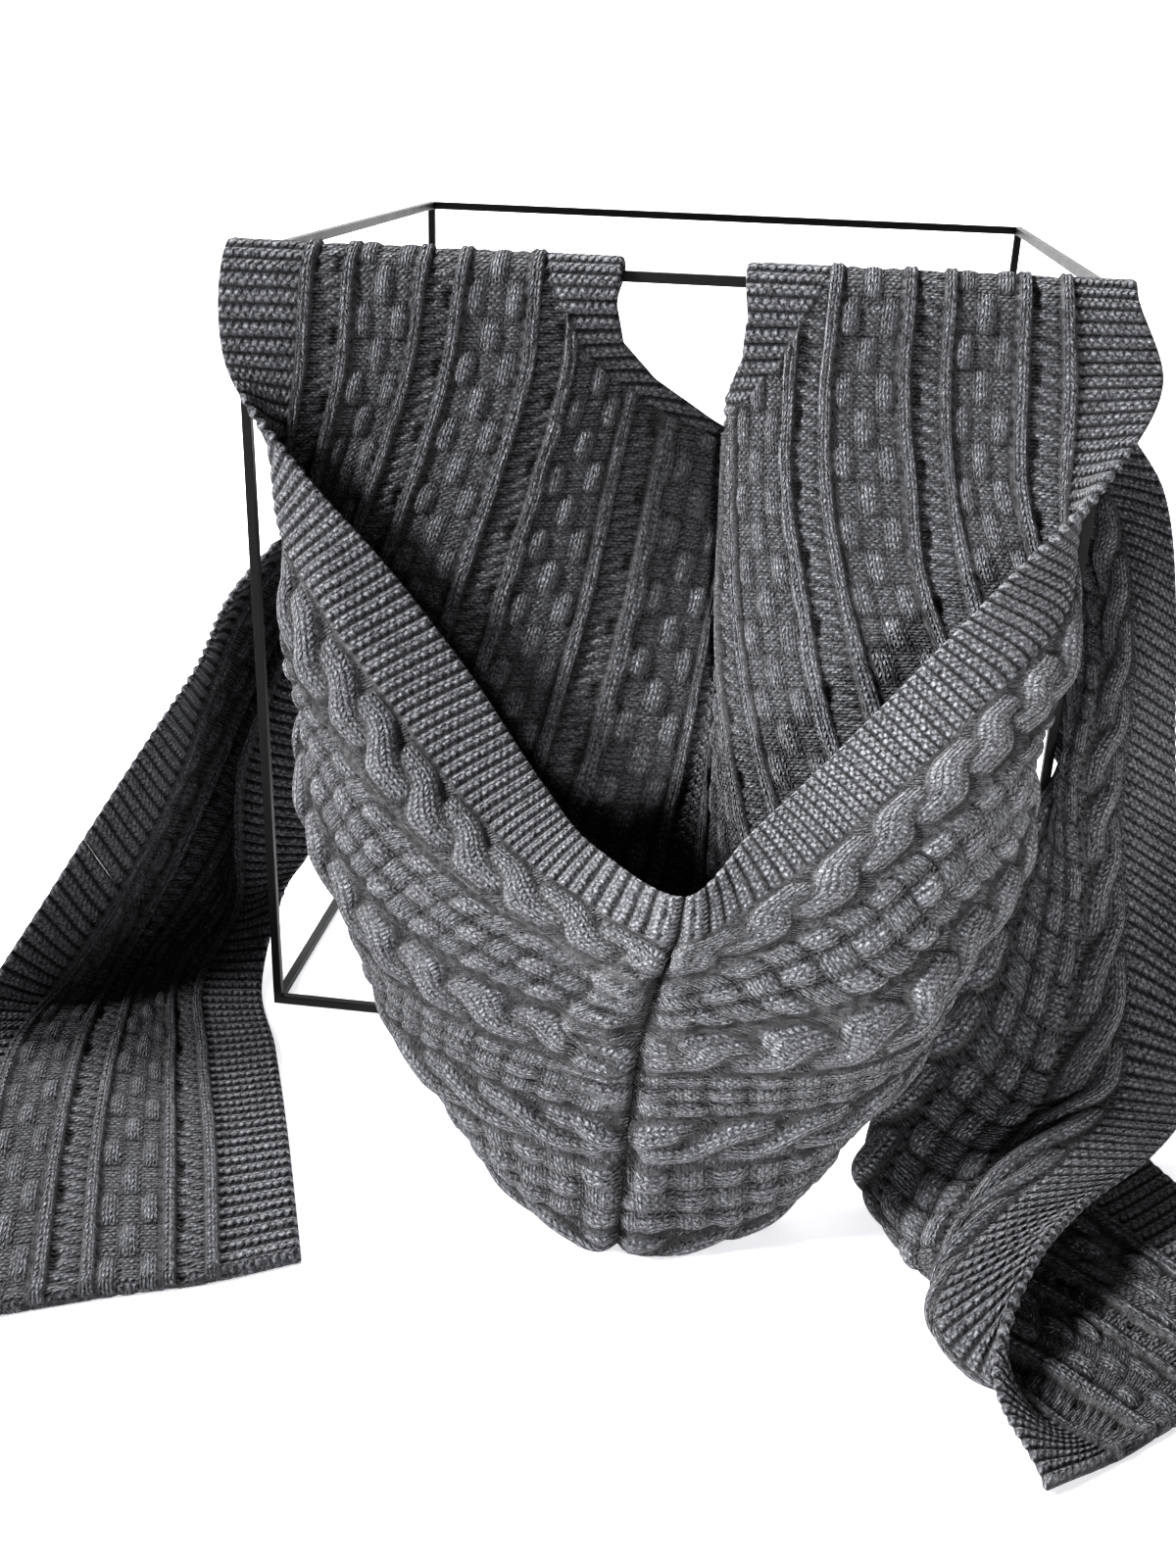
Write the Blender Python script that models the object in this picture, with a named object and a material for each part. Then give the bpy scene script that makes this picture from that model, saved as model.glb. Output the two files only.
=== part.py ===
"""Hooded cable-knit scarf draped over the front bar of a wire cube display stand.

Frame: metres, +Z up, the viewer stands at -Y.  The origin is the middle of the underside of the
cube's front bottom bar.  The tables below are in millimetres because a knitter measures that way.

The scarf is one strip with a hood in its middle.  Every stretch of it that shows is one node, and
every node is a closed wall laid along named lines of the knitting: the face edge, the edge of the
garter band, the middle of each cable.  A line gives one place for each station down the cloth.
"""
import bpy
import math
import numpy as np

# ---------------------------------------------------------------- the stand
CUBE = 0.350            # outside size of the cube
BAR = 0.004             # square steel bar
JOINT_GAP = 0.0003      # air between two bars that meet

# ---------------------------------------------------------------- the knitting, millimetres
WALL = 3.0              # plain thickness of the knit
STRIP = 155.0           # width of the scarf strip
HOOD_DEPTH = 220.0      # face edge to centre back
FIRST_CABLE = 40.0      # middle of the first cable, from the face edge
REPEAT = 45.0           # cable to cable
CABLE = 12.0            # width of a cable
RIB = 5.5               # width of the rib on each side of a cable
HALF_TWIST = 11.4       # four knitted rows: a cable swaps sides over this height
CABLE_RISE = 2.4        # how far a cable stands up on the right side
RIB_RISE = 0.9          # how far a rib stands up on the wrong side
BLOCK_RISE = 0.7        # how far a basket block stands up
SEAM_GAP = 0.8          # air left beside each seam between two nodes
SPLIT_GAP = 1.1         # the same where a tail's two stretches meet
FLOOR = 0.0
LIES_FLAT = 1.7         # an underside lower than this lies flat on the floor

# ---------------------------------------------------------------- stations and lines
# A table holds one row for each line of the knitting: its distance from the face edge, then its
# x, y, z at every station.  The stations of a hood half run from the bar down to the crown seam.
HOOD_STATIONS = (0, 50, 100, 150, 210, 270, 325, 365)

LEFT_HOOD = {
    0: ((-170, 0, 354), (-176, -12, 306), (-144, -33, 268), (-110, -45, 237),
        (-72, -65, 200), (-36, -90, 169), (-5, -122, 157), (30, -156, 160)),
    31: ((-142, 0, 354), (-148, -6, 307), (-156, -14, 249), (-129, -52, 221),
         (-91, -80, 187), (-52, -108, 158), (-14, -139, 148), (28, -160, 143)),
    57: ((-115, 0, 354), (-121, -5, 308), (-136, -3, 262), (-151, -29, 204),
         (-113, -84, 167), (-72, -122, 143), (-25, -150, 131), (22, -165, 126)),
    85: ((-87, 0, 354), (-95, -4, 309), (-110, -4, 262), (-127, -8, 216),
         (-139, -44, 146), (-97, -108, 113), (-37, -155, 106), (18, -167, 104)),
    130: ((-42, 0, 354), (-46, -2, 311), (-58, -3, 265), (-72, -8, 217),
          (-86, -24, 160), (-98, -78, 76), (-53, -144, 66), (15, -163, 64)),
    175: ((3, 0, 354), (-4, 12, 312), (-12, 12, 265), (-18, 4, 220),
          (-28, -16, 168), (-44, -50, 92), (-43, -114, 14), (12, -150, 5)),
    220: ((48, 6, 352), (40, 42, 300), (36, 42, 253), (30, 22, 205),
          (25, -8, 150), (19, -40, 94), (12, -72, 38), (6, -102, 4)),
}

RIGHT_HOOD = {
    0: ((169, 0, 354), (191, -9, 319), (172, -26, 282), (140, -50, 253),
        (106, -78, 221), (75, -108, 194), (50, -138, 177), (30, -156, 160)),
    31: ((152, 0, 354), (158, -9, 317), (162, -12, 275), (164, -35, 236),
         (127, -86, 205), (95, -120, 182), (64, -146, 163), (28, -160, 143)),
    57: ((127, 0, 354), (130, -6, 316), (136, -7, 273), (162, -27, 208),
         (146, -86, 189), (113, -124, 166), (76, -152, 143), (22, -165, 126)),
    85: ((101, 0, 354), (103, -5, 314), (111, -5, 272), (122, -10, 230),
         (157, -44, 153), (132, -112, 128), (92, -155, 108), (18, -167, 104)),
    130: ((58, 0, 354), (58, -2, 311), (61, -3, 269), (72, -8, 225),
          (87, -26, 177), (125, -80, 90), (90, -146, 70), (15, -163, 64)),
    175: ((18, 0, 354), (26, 10, 306), (29, 10, 260), (32, 3, 215),
          (42, -16, 166), (67, -54, 85), (74, -118, 11), (12, -150, 5)),
    220: ((48, 6, 352), (40, 42, 300), (36, 42, 253), (30, 22, 205),
          (25, -8, 150), (19, -40, 94), (12, -72, 38), (6, -102, 4)),
}

# The neckline: how wide a hood half is at each distance below the bar.
NECKLINE = ((0, 155), (25, 155), (40, 160), (55, 176), (68, 198), (76, 220), (365, 220))

# The left tail goes back over the bar, turns over as it drops and comes forward on the floor with
# its wrong side up.  The stations run along the strip from the bar to the cast-on edge.
LEFT_TAIL_STATIONS = (0, 40, 95, 150, 205, 260, 300, 340, 375, 440, 510, 580)
LEFT_TAIL_SPLIT = 352

LEFT_TAIL = {
    0: ((-170, 0, 354), (-165, 9, 316), (-154, 20, 262), (-146, 32, 208), (-151, 38, 153),
        (-159, 40, 98), (-168, 43, 62), (-183, 42, 36), (-186, 16, 7), (-160, -45, 3),
        (-134, -108, 3), (-106, -180, 3)),
    31: ((-142, 0, 354), (-138, 12, 316), (-134, 40, 262), (-150, 58, 207), (-180, 52, 152),
         (-200, 46, 100), (-204, 46, 60), (-206, 44, 24), (-214, 12, 6), (-190, -56, 3),
         (-163, -120, 3), (-134, -196, 3)),
    78: ((-94, 0, 354), (-93, 16, 316), (-104, 60, 264), (-140, 88, 214), (-178, 86, 166),
         (-199, 74, 116), (-210, 70, 78), (-228, 54, 40), (-246, 18, 9), (-236, -48, 3),
         (-212, -126, 3), (-178, -214, 3)),
    100: ((-72, 0, 354), (-73, 18, 316), (-92, 72, 267), (-138, 100, 224), (-186, 89, 180),
          (-214, 66, 130), (-230, 52, 93), (-244, 26, 54), (-258, 4, 18), (-257, -54, 3),
          (-233, -133, 3), (-200, -224, 3)),
    124: ((-48, 0, 354), (-51, 20, 318), (-66, 84, 278), (-134, 106, 243), (-192, 62, 198),
          (-213, 36, 150), (-222, 14, 114), (-238, -4, 76), (-260, -18, 38), (-279, -62, 4),
          (-255, -142, 3), (-222, -235, 3)),
    155: ((-17, 0, 354), (-29, 24, 323), (-76, 74, 292), (-138, 78, 256), (-187, 24, 206),
          (-205, 4, 168), (-223, -9, 140), (-243, -23, 108), (-266, -37, 70), (-304, -72, 5),
          (-283, -156, 3), (-250, -248, 3)),
}

# The right tail runs diagonally over the front right corner, comes down outside the cube and
# folds under itself on the floor, so that its last stretch shows the wrong side.
RIGHT_TAIL_STATIONS = (0, 40, 90, 140, 190, 240, 290, 342, 388, 428, 468, 510, 570)
RIGHT_TAIL_SPLIT = 175

RIGHT_TAIL = {
    0: ((169, 0, 354), (173, 13, 318), (203, 10, 274), (215, 4, 226), (222, -2, 176),
        (230, -12, 127), (237, -36, 82), (237, -73, 45), (215, -108, 37), (188, -136, 34),
        (168, -166, 33), (149, -206, 19), (164, -246, 4)),
    31: ((152, 0, 354), (155, 12, 316), (181, 18, 276), (195, 5, 236), (200, -8, 190),
         (201, -16, 144), (208, -34, 98), (204, -84, 54), (180, -120, 42), (152, -148, 28),
         (132, -186, 14), (164, -212, 3), (189, -228, 3)),
    60: ((124, 0, 354), (128, 14, 316), (150, 28, 274), (176, 24, 240), (183, 0, 200),
         (178, -20, 158), (180, -42, 106), (166, -86, 58), (142, -116, 34), (127, -148, 12),
         (150, -158, 3), (182, -178, 3), (212, -209, 3)),
    85: ((101, 0, 354), (105, 16, 316), (126, 42, 270), (156, 48, 232), (183, 30, 196),
         (184, 5, 160), (163, -24, 116), (146, -58, 76), (121, -82, 34), (112, -104, 9),
         (148, -122, 3), (184, -150, 3), (232, -194, 3)),
    120: ((67, 0, 354), (72, 18, 316), (96, 58, 272), (128, 70, 234), (166, 60, 200),
          (184, 37, 162), (190, 4, 132), (180, -22, 88), (170, -48, 44), (166, -74, 8),
          (194, -98, 3), (222, -130, 3), (260, -170, 3)),
    155: ((36, 0, 354), (42, 20, 316), (66, 66, 276), (98, 84, 240), (140, 78, 208),
          (168, 58, 176), (186, 34, 142), (200, 12, 102), (200, -12, 60), (206, -40, 20),
          (232, -64, 4), (256, -98, 3), (290, -148, 3)),
}


# ---------------------------------------------------------------- curves through the tables
def through(places, values, at):
    """Smooth curve through values at the given places (uneven spacing), read at one place."""
    last = len(places) - 1
    i = 0
    while i < last - 1 and at > places[i + 1]:
        i += 1
    a, b = places[i], places[i + 1]
    step = b - a
    slope = (values[i + 1] - values[i]) / step
    before = after = slope
    if i > 0:
        back = (values[i] - values[i - 1]) / (a - places[i - 1])
        before = (back * step + slope * (a - places[i - 1])) / (b - places[i - 1])
    if i + 1 < last:
        ahead = (values[i + 2] - values[i + 1]) / (places[i + 2] - b)
        after = (slope * (places[i + 2] - b) + ahead * step) / (places[i + 2] - a)
    t = (at - a) / step
    h00 = (1 + 2 * t) * (1 - t) ** 2
    h10 = t * (1 - t) ** 2
    h01 = t * t * (3 - 2 * t)
    h11 = t * t * (t - 1)
    return h00 * values[i] + h10 * step * before + h01 * values[i + 1] + h11 * step * after


class Cloth:
    """A sheet of knitting: where it is, at any distance from the face edge and down the strip."""

    def __init__(self, stations, lines, side, over_bar):
        # side +1: the right side is where (away from the edge) x (down the strip) points
        self.side = side
        self.partner = None
        self.seam = None
        self.widths = sorted(lines)
        self.stations = list(stations)
        self.lines = {w: [np.array(p, float) for p in lines[w]] for w in self.widths}
        if over_bar:
            self.round_the_bar(over_bar)

    def round_the_bar(self, way):
        """The cloth bends over the bar: a place just before the top and one just after it."""
        for line in self.lines.values():
            top = line[0]
            near = top + np.array((0.0, 6.0 * way, -3.5))
            far = top + np.array((0.0, -6.0 * way, -3.5))
            line.insert(1, near)
            line.insert(0, far)
        self.stations = [-8.0, 0.0, 8.0] + self.stations[1:]

    def at(self, width, down):
        column = [through(self.stations, self.lines[w], down) for w in self.widths]
        return through(self.widths, column, width)

    def facing(self, width, down):
        e = 1.5
        across = self.at(width + e, down) - self.at(width - e, down)
        along = self.at(width, down + e) - self.at(width, down - e)
        n = np.cross(across, along)
        return self.side * n / max(np.linalg.norm(n), 1e-9)

    def right_side(self, width, down):
        """Direction the right side of the knitting faces; the same on both sides of a seam."""
        if self.seam and abs(down - self.seam) < 2.0:
            down = self.seam
        n = self.facing(width, down)
        if self.partner and (width > HOOD_DEPTH - 2.0 or down > HOOD_STATIONS[-1] - 2.0):
            n = n + self.partner.facing(width, down)
        return n / max(np.linalg.norm(n), 1e-9)


def join_halves(left, right):
    """Let each hood half run on into the other, so that they meet in one smooth surface."""
    for one, other in ((left, right), (right, left)):
        one.partner = other
        one.extra = {HOOD_DEPTH + 45.0: [p.copy() for p in other.lines[175]]}
    for half in (left, right):
        for w, line in half.extra.items():
            half.lines[w] = line
            half.widths.append(w)
    ends = {}
    for half, other in ((left, right), (right, left)):
        ends[half.side] = {w: other.lines[w][-2].copy() for w in half.widths}
    for half in (left, right):
        half.stations.append(HOOD_STATIONS[-1] + 40.0)
        for w in half.widths:
            half.lines[w].append(ends[half.side][w])


# ---------------------------------------------------------------- the stitch pattern
def pattern_columns(width, hood):
    """Distances from the face edge at which the knitting changes: bands, ribs, cables, baskets."""
    marks = [0.0, 15.0] if hood else [0.0]
    centre = FIRST_CABLE
    while centre < width - 1.0:
        if hood or centre < 100.0:
            edge = CABLE / 2
            twist = [centre - 2.6, centre + 2.6] if centre < 140.0 else [centre]
            marks += [centre - edge - RIB, centre - edge, *twist, centre + edge]
            marks += [centre + edge + RIB]
            if hood or centre == FIRST_CABLE:
                marks.append(centre + REPEAT / 2)
        centre += REPEAT
    if hood:
        marks += [width - 11.0, width - 5.5]
    else:
        marks += [119.0, 124.5, 140.0]
    return sorted(m for m in set(marks) if m < width - 1.0) + [width]


def relief(width, down, strip_end):
    """Height of the right side and of the wrong side above the plain wall, millimetres."""
    beyond = width - FIRST_CABLE
    if beyond < -CABLE or (strip_end and width > 126.0) or width > HOOD_DEPTH - 3.0:
        return 0.0, 0.0
    repeat = round(beyond / REPEAT)
    off = beyond - repeat * REPEAT
    beat = int(round(down / HALF_TWIST)) + repeat
    if abs(off) < CABLE / 2 - 0.5:
        on_top = (off > 0) == (beat % 2 == 0)
        return (CABLE_RISE if on_top else 0.45 * CABLE_RISE), -0.5
    if abs(off) < CABLE / 2 + RIB + 0.5:
        return -0.3, RIB_RISE
    return (BLOCK_RISE if beat % 2 else 0.0), (0.0 if beat % 2 else BLOCK_RISE)


# ---------------------------------------------------------------- building meshes
def remove_everything():
    for ob in list(bpy.data.objects):
        bpy.data.objects.remove(ob, do_unlink=True)


def material(name, colour, roughness, metallic=0.0):
    mat = bpy.data.materials.get(name) or bpy.data.materials.new(name)
    mat.use_nodes = True
    shader = mat.node_tree.nodes["Principled BSDF"]
    shader.inputs["Base Color"].default_value = (*colour, 1.0)
    shader.inputs["Roughness"].default_value = roughness
    shader.inputs["Metallic"].default_value = metallic
    mat.diffuse_color = (*colour, 1.0)
    return mat


def add_object(name, verts, faces, mat):
    mesh = bpy.data.meshes.new(name)
    mesh.from_pydata([tuple(v) for v in verts], [], faces)
    mesh.update()
    ob = bpy.data.objects.new(name, mesh)
    bpy.context.collection.objects.link(ob)
    mesh.materials.append(mat)
    return ob


def wall(name, cloth, columns, rows, width_at, hood, mat):
    """A closed wall over a grid of columns (across) and rows (down the strip)."""
    ridge = columns[-1]
    keep = 124.5 if hood else ridge
    right, wrong = [], []
    for down in rows:
        edge = width_at(down)
        for c in columns:
            w = c
            if c > keep:
                w = keep + (c - keep) * (edge - keep) / (ridge - keep)
            centre = cloth.at(w, down)
            n = cloth.right_side(w, down)
            strip_end = (not hood) or w > edge - 19.0 and down < 110.0
            up, low = relief(w, down, strip_end)
            pressed = min(1.0, abs(down) / 14.0)
            a = centre + n * (WALL / 2 + up * pressed)
            b = centre - n * (WALL / 2 + low)
            right.append(a)
            wrong.append(b)
    right, wrong = np.array(right), np.array(wrong)
    for skin, other in ((right, wrong), (wrong, right)):
        resting = (skin[:, 2] < LIES_FLAT) & (skin[:, 2] < other[:, 2])
        skin[resting, 2] = FLOOR
        thin = resting & (other[:, 2] < WALL)
        other[thin, 2] = WALL
    nc, nr = len(columns), len(rows)
    verts = np.vstack((right, wrong)) / 1000.0
    low = nc * nr
    faces = []
    for r in range(nr - 1):
        for c in range(nc - 1):
            i = r * nc + c
            j = i + nc
            faces.append((i, i + 1, j + 1, j))
            faces.append((low + i, low + j, low + j + 1, low + i + 1))
    rim = [c for c in range(nc - 1)]
    rim += [r * nc + nc - 1 for r in range(nr - 1)]
    rim += [(nr - 1) * nc + c for c in range(nc - 1, 0, -1)]
    rim += [r * nc for r in range(nr - 1, 0, -1)]
    for k, a in enumerate(rim):
        b = rim[(k + 1) % len(rim)]
        faces.append((a, low + a, low + b, b))
    if cloth.side < 0:
        faces = [tuple(reversed(f)) for f in faces]
    return add_object(name, verts, faces, mat)


def box(name, low, high, mat):
    (x0, y0, z0), (x1, y1, z1) = low, high
    verts = [(x0, y0, z0), (x1, y0, z0), (x1, y1, z0), (x0, y1, z0),
             (x0, y0, z1), (x1, y0, z1), (x1, y1, z1), (x0, y1, z1)]
    faces = [(3, 2, 1, 0), (4, 5, 6, 7), (0, 1, 5, 4), (1, 2, 6, 5), (2, 3, 7, 6), (3, 0, 4, 7)]
    return add_object(name, verts, faces, mat)


def build_stand(mat):
    """Twelve square bars.  The front plane's bars are centred on y = 0, the floor is z = 0."""
    h = BAR / 2
    reach = CUBE / 2 - h
    back = CUBE - BAR
    clear = h + JOINT_GAP
    for side, x in (("left", -reach), ("right", reach)):
        for place, y in (("front", 0.0), ("back", back)):
            box(f"post_{place}_{side}", (x - h, y - h, 0.0), (x + h, y + h, CUBE), mat)
        for level, z in (("bottom", 0.0), ("top", CUBE - BAR)):
            box(f"{level}_bar_{side}", (x - h, clear, z), (x + h, back - clear, z + BAR), mat)
    for place, y in (("front", 0.0), ("back", back)):
        for level, z in (("bottom", 0.0), ("top", CUBE - BAR)):
            box(f"{level}_bar_{place}", (-reach + clear, y - h, z),
                (reach - clear, y + h, z + BAR), mat)


def rows_between(start, end):
    count = max(2, round(abs(end - start) / HALF_TWIST))
    return [start + (end - start) * i / count for i in range(count + 1)]


def build_scarf(mat):
    left = Cloth(HOOD_STATIONS, LEFT_HOOD, 1, -1)
    right = Cloth(HOOD_STATIONS, RIGHT_HOOD, -1, -1)
    join_halves(left, right)
    places = [p for p, _ in NECKLINE]
    widths = [float(w) for _, w in NECKLINE]
    hood_rows = rows_between(SEAM_GAP, HOOD_STATIONS[-1] - SEAM_GAP)
    hood_columns = pattern_columns(HOOD_DEPTH - SEAM_GAP, True)

    def width_at(down):
        return min(float(np.interp(down, places, widths)), HOOD_DEPTH - SEAM_GAP)

    wall("hood_left_half", left, hood_columns, hood_rows, width_at, True, mat)
    wall("hood_right_half", right, hood_columns, hood_rows, width_at, True, mat)

    strip_columns = pattern_columns(STRIP, False)
    for side, table, stations, split, turn in (
            ("left", LEFT_TAIL, LEFT_TAIL_STATIONS, LEFT_TAIL_SPLIT, -1),
            ("right", RIGHT_TAIL, RIGHT_TAIL_STATIONS, RIGHT_TAIL_SPLIT, 1)):
        tail = Cloth(stations, table, turn, 1)
        tail.seam = split
        stretches = (("drop", SEAM_GAP, split - SPLIT_GAP), ("end", split, stations[-1]))
        for stretch, start, end in stretches:
            wall(f"{side}_tail_{stretch}", tail, strip_columns, rows_between(start, end),
                 lambda down: STRIP, False, mat)


def main():
    remove_everything()
    steel = material("black_steel", (0.02, 0.02, 0.022), 0.45)
    wool = material("grey_wool_knit", (0.16, 0.165, 0.175), 0.95)
    build_stand(steel)
    build_scarf(wool)
    count = sum(len(p.vertices) - 2 for ob in bpy.data.objects for p in ob.data.polygons)
    print("nodes", len(bpy.data.objects), "triangles", count)


main()
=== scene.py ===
# %% [markdown]
# # A hooded cable-knit scarf laid over a wire cube
#
# One long strip of thick grey wool with a hood in its middle.  The hood hangs upside down in
# front of a black wire cube, and both tails go back over the top bar and come forward again on
# the floor.
#
# The lesson builds the knitting as fine closed sheets.  The shape comes from named lines of the
# knitting, the cables, ribs, baskets and garter ridges are real relief in the mesh, and only the
# single stitches, the wool's fuzz and a painted shade in its creases are left to the material.

# %% Load the frame
import math
import bpy
import numpy as np
from mathutils import Matrix, Vector


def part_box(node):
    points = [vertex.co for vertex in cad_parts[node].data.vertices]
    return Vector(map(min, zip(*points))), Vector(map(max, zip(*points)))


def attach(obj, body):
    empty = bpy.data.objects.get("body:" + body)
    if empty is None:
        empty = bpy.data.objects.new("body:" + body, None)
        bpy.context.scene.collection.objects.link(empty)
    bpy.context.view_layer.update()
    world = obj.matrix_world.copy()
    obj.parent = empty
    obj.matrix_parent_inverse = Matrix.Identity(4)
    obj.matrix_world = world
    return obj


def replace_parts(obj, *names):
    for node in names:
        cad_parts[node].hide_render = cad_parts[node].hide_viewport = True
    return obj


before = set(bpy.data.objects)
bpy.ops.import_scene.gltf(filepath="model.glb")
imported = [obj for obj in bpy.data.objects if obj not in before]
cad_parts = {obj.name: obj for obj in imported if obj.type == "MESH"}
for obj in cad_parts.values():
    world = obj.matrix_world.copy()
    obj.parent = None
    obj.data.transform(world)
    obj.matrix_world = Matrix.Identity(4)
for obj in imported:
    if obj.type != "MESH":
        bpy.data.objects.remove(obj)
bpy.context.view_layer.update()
print("nodes in the frame:", len(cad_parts))

# %% [markdown]
# ## Sizes of the knitting
#
# A knitter measures in millimetres and counts rows, so the lesson does too.  Two rows of garter
# stitch make one ridge, and ten rows carry a cable from one crossing to the next.

# %% Sizes in millimetres
RIDGE = 5.7                 # two rows of garter stitch
ROW = RIDGE / 2
CROSSING = 10 * ROW         # from one crossing of a cable to the next
STITCH = 3.1                # width of one stitch
HALF_WALL = 1.5             # half the thickness of the plain knit
STRIP = 155.0               # width of the scarf
HOOD_DEPTH = 220.0          # face edge to centre back
HOOD_LENGTH = 365.0         # bar to crown seam
BAND = 29.0                 # garter band along the face edge
INNER_BAND = 124.5          # where the tail's inner garter band starts
CABLES = (40.0, 85.0, 130.0, 175.0, 220.0)      # a cable's middle, from the face edge
CABLE_STARTS = (11.0, 22.0, 4.0, 17.0, 9.0)     # its first crossing below the bar
CABLE_SPACING = 45.0        # from one cable to the next
TAIL_CABLES = 2             # how many of them a tail has
LAST_RIB = 119.0            # where the tail's last rib starts
RIB_INNER, RIB_OUTER = 5.25, 10.75      # a rib's two sides, from the cable's middle
SWING = 4.0                 # how far a strand's middle swings from side to side
STRAND = 5.2                # half the width of a strand
STRAND_RISE = 5.0           # how far a crossing strand stands up
RIDGE_RISE = 0.7            # how far a garter ridge stands up
RIB_RISE = 2.0              # how far a rib stands up on the wrong side
AIR = 0.05                  # left between two pieces that meet
print("a cable crosses every", CROSSING, "mm, a ridge is", RIDGE, "mm")

# %% [markdown]
# ## The lines of the hood
#
# Each table names a line of the knitting by its distance from the face edge, and says where it
# lies in the room at a few places down the strip: x, y, z in millimetres.  The hood halves start
# at the bar and end at the crown seam.

# %% Tables of the hood
HOOD_STATIONS = (0, 50, 100, 150, 210, 270, 325, 365)

LEFT_HOOD = {
    0: ((-177, 0, 354), (-177, -12, 308), (-140, -33, 271), (-103, -46, 239),
        (-63, -66, 201), (-31, -91, 170), (-4, -122, 158), (30, -156, 160)),
    31: ((-142, 0, 354), (-148, -6, 307), (-156, -14, 249), (-129, -52, 221),
         (-91, -80, 187), (-52, -108, 158), (-14, -139, 148), (28, -160, 143)),
    57: ((-115, 0, 354), (-121, -5, 308), (-136, -3, 262), (-151, -29, 204),
         (-113, -84, 167), (-72, -122, 143), (-25, -150, 131), (22, -165, 126)),
    85: ((-87, 0, 354), (-95, -4, 309), (-110, -4, 262), (-127, -8, 216),
         (-139, -44, 146), (-97, -108, 113), (-37, -155, 106), (18, -167, 104)),
    130: ((-42, 0, 354), (-46, -2, 311), (-58, -3, 265), (-72, -8, 217),
          (-86, -24, 160), (-98, -78, 76), (-53, -144, 66), (15, -163, 64)),
    175: ((3, 0, 354), (-4, 12, 312), (-12, 12, 265), (-18, 4, 220),
          (-28, -16, 168), (-44, -50, 92), (-43, -114, 14), (12, -150, 5)),
    220: ((48, 6, 352), (40, 42, 300), (36, 42, 253), (30, 22, 205),
          (25, -8, 150), (19, -40, 94), (12, -72, 38), (6, -102, 4)),
}

RIGHT_HOOD = {
    0: ((177, 0, 354), (191, -9, 319), (172, -26, 282), (140, -50, 253),
        (106, -78, 221), (75, -108, 194), (50, -138, 177), (30, -156, 160)),
    31: ((152, 0, 354), (158, -9, 317), (162, -12, 275), (164, -35, 236),
         (127, -86, 205), (95, -120, 182), (64, -146, 163), (28, -160, 143)),
    57: ((127, 0, 354), (130, -6, 316), (136, -7, 273), (162, -27, 208),
         (146, -86, 189), (113, -124, 166), (76, -152, 143), (22, -165, 126)),
    85: ((101, 0, 354), (103, -5, 314), (111, -5, 272), (122, -10, 230),
         (157, -44, 153), (132, -112, 128), (92, -155, 108), (18, -167, 104)),
    130: ((58, 0, 354), (58, -2, 311), (61, -3, 269), (72, -8, 225),
          (87, -26, 177), (125, -80, 90), (90, -146, 70), (15, -163, 64)),
    175: ((18, 0, 354), (26, 10, 306), (29, 10, 260), (32, 3, 215),
          (42, -16, 166), (67, -54, 85), (74, -118, 11), (12, -150, 5)),
    220: ((48, 6, 352), (40, 42, 300), (36, 42, 253), (30, 22, 205),
          (25, -8, 150), (19, -40, 94), (12, -72, 38), (6, -102, 4)),
}

# how wide a hood half is at each distance below the bar
NECKLINE = ((0, 155), (25, 155), (40, 160), (55, 176), (68, 198), (76, 220), (365, 220))
print("lines in the hood's tables:", len(LEFT_HOOD) + len(RIGHT_HOOD))

# %% [markdown]
# ## The lines of the tails
#
# The tails start at the bar, hang down behind it, turn over beside the cube and end at their hems
# on the floor.  Their tables are read in the same way as the hood's.

# %% Tables of the tails
LEFT_TAIL_STATIONS = (0, 40, 95, 150, 205, 260, 300, 340, 375, 440, 510, 580)

LEFT_TAIL = {
    0: ((-177, 0, 354), (-166, 12, 316), (-154, 20, 262), (-146, 32, 208), (-151, 38, 153),
        (-159, 40, 98), (-168, 43, 62), (-183, 42, 36), (-186, 16, 7), (-160, -45, 3),
        (-134, -108, 3), (-106, -180, 3)),
    31: ((-142, 0, 354), (-138, 12, 316), (-134, 40, 262), (-150, 58, 207), (-180, 52, 152),
         (-200, 46, 100), (-204, 46, 60), (-206, 44, 24), (-214, 12, 6), (-190, -56, 3),
         (-163, -120, 3), (-134, -196, 3)),
    78: ((-94, 0, 354), (-93, 16, 316), (-104, 60, 264), (-140, 88, 214), (-178, 86, 166),
         (-199, 74, 116), (-210, 70, 78), (-228, 54, 40), (-246, 18, 9), (-236, -48, 3),
         (-212, -126, 3), (-178, -214, 3)),
    100: ((-72, 0, 354), (-73, 18, 316), (-92, 72, 267), (-138, 100, 224), (-186, 89, 180),
          (-214, 66, 130), (-230, 52, 93), (-244, 26, 54), (-258, 4, 18), (-257, -54, 3),
          (-233, -133, 3), (-200, -224, 3)),
    124: ((-48, 0, 354), (-51, 20, 318), (-66, 84, 278), (-134, 106, 243), (-192, 62, 198),
          (-213, 36, 150), (-222, 14, 114), (-238, -4, 76), (-260, -18, 38), (-279, -62, 4),
          (-255, -142, 3), (-222, -235, 3)),
    155: ((-17, 0, 354), (-29, 24, 323), (-76, 74, 292), (-138, 78, 256), (-187, 24, 206),
          (-205, 4, 168), (-223, -9, 140), (-243, -23, 108), (-266, -37, 70), (-304, -72, 5),
          (-283, -156, 3), (-250, -248, 3)),
}

RIGHT_TAIL_STATIONS = (0, 40, 90, 140, 190, 240, 290, 342, 388, 428, 468, 510, 570)

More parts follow.
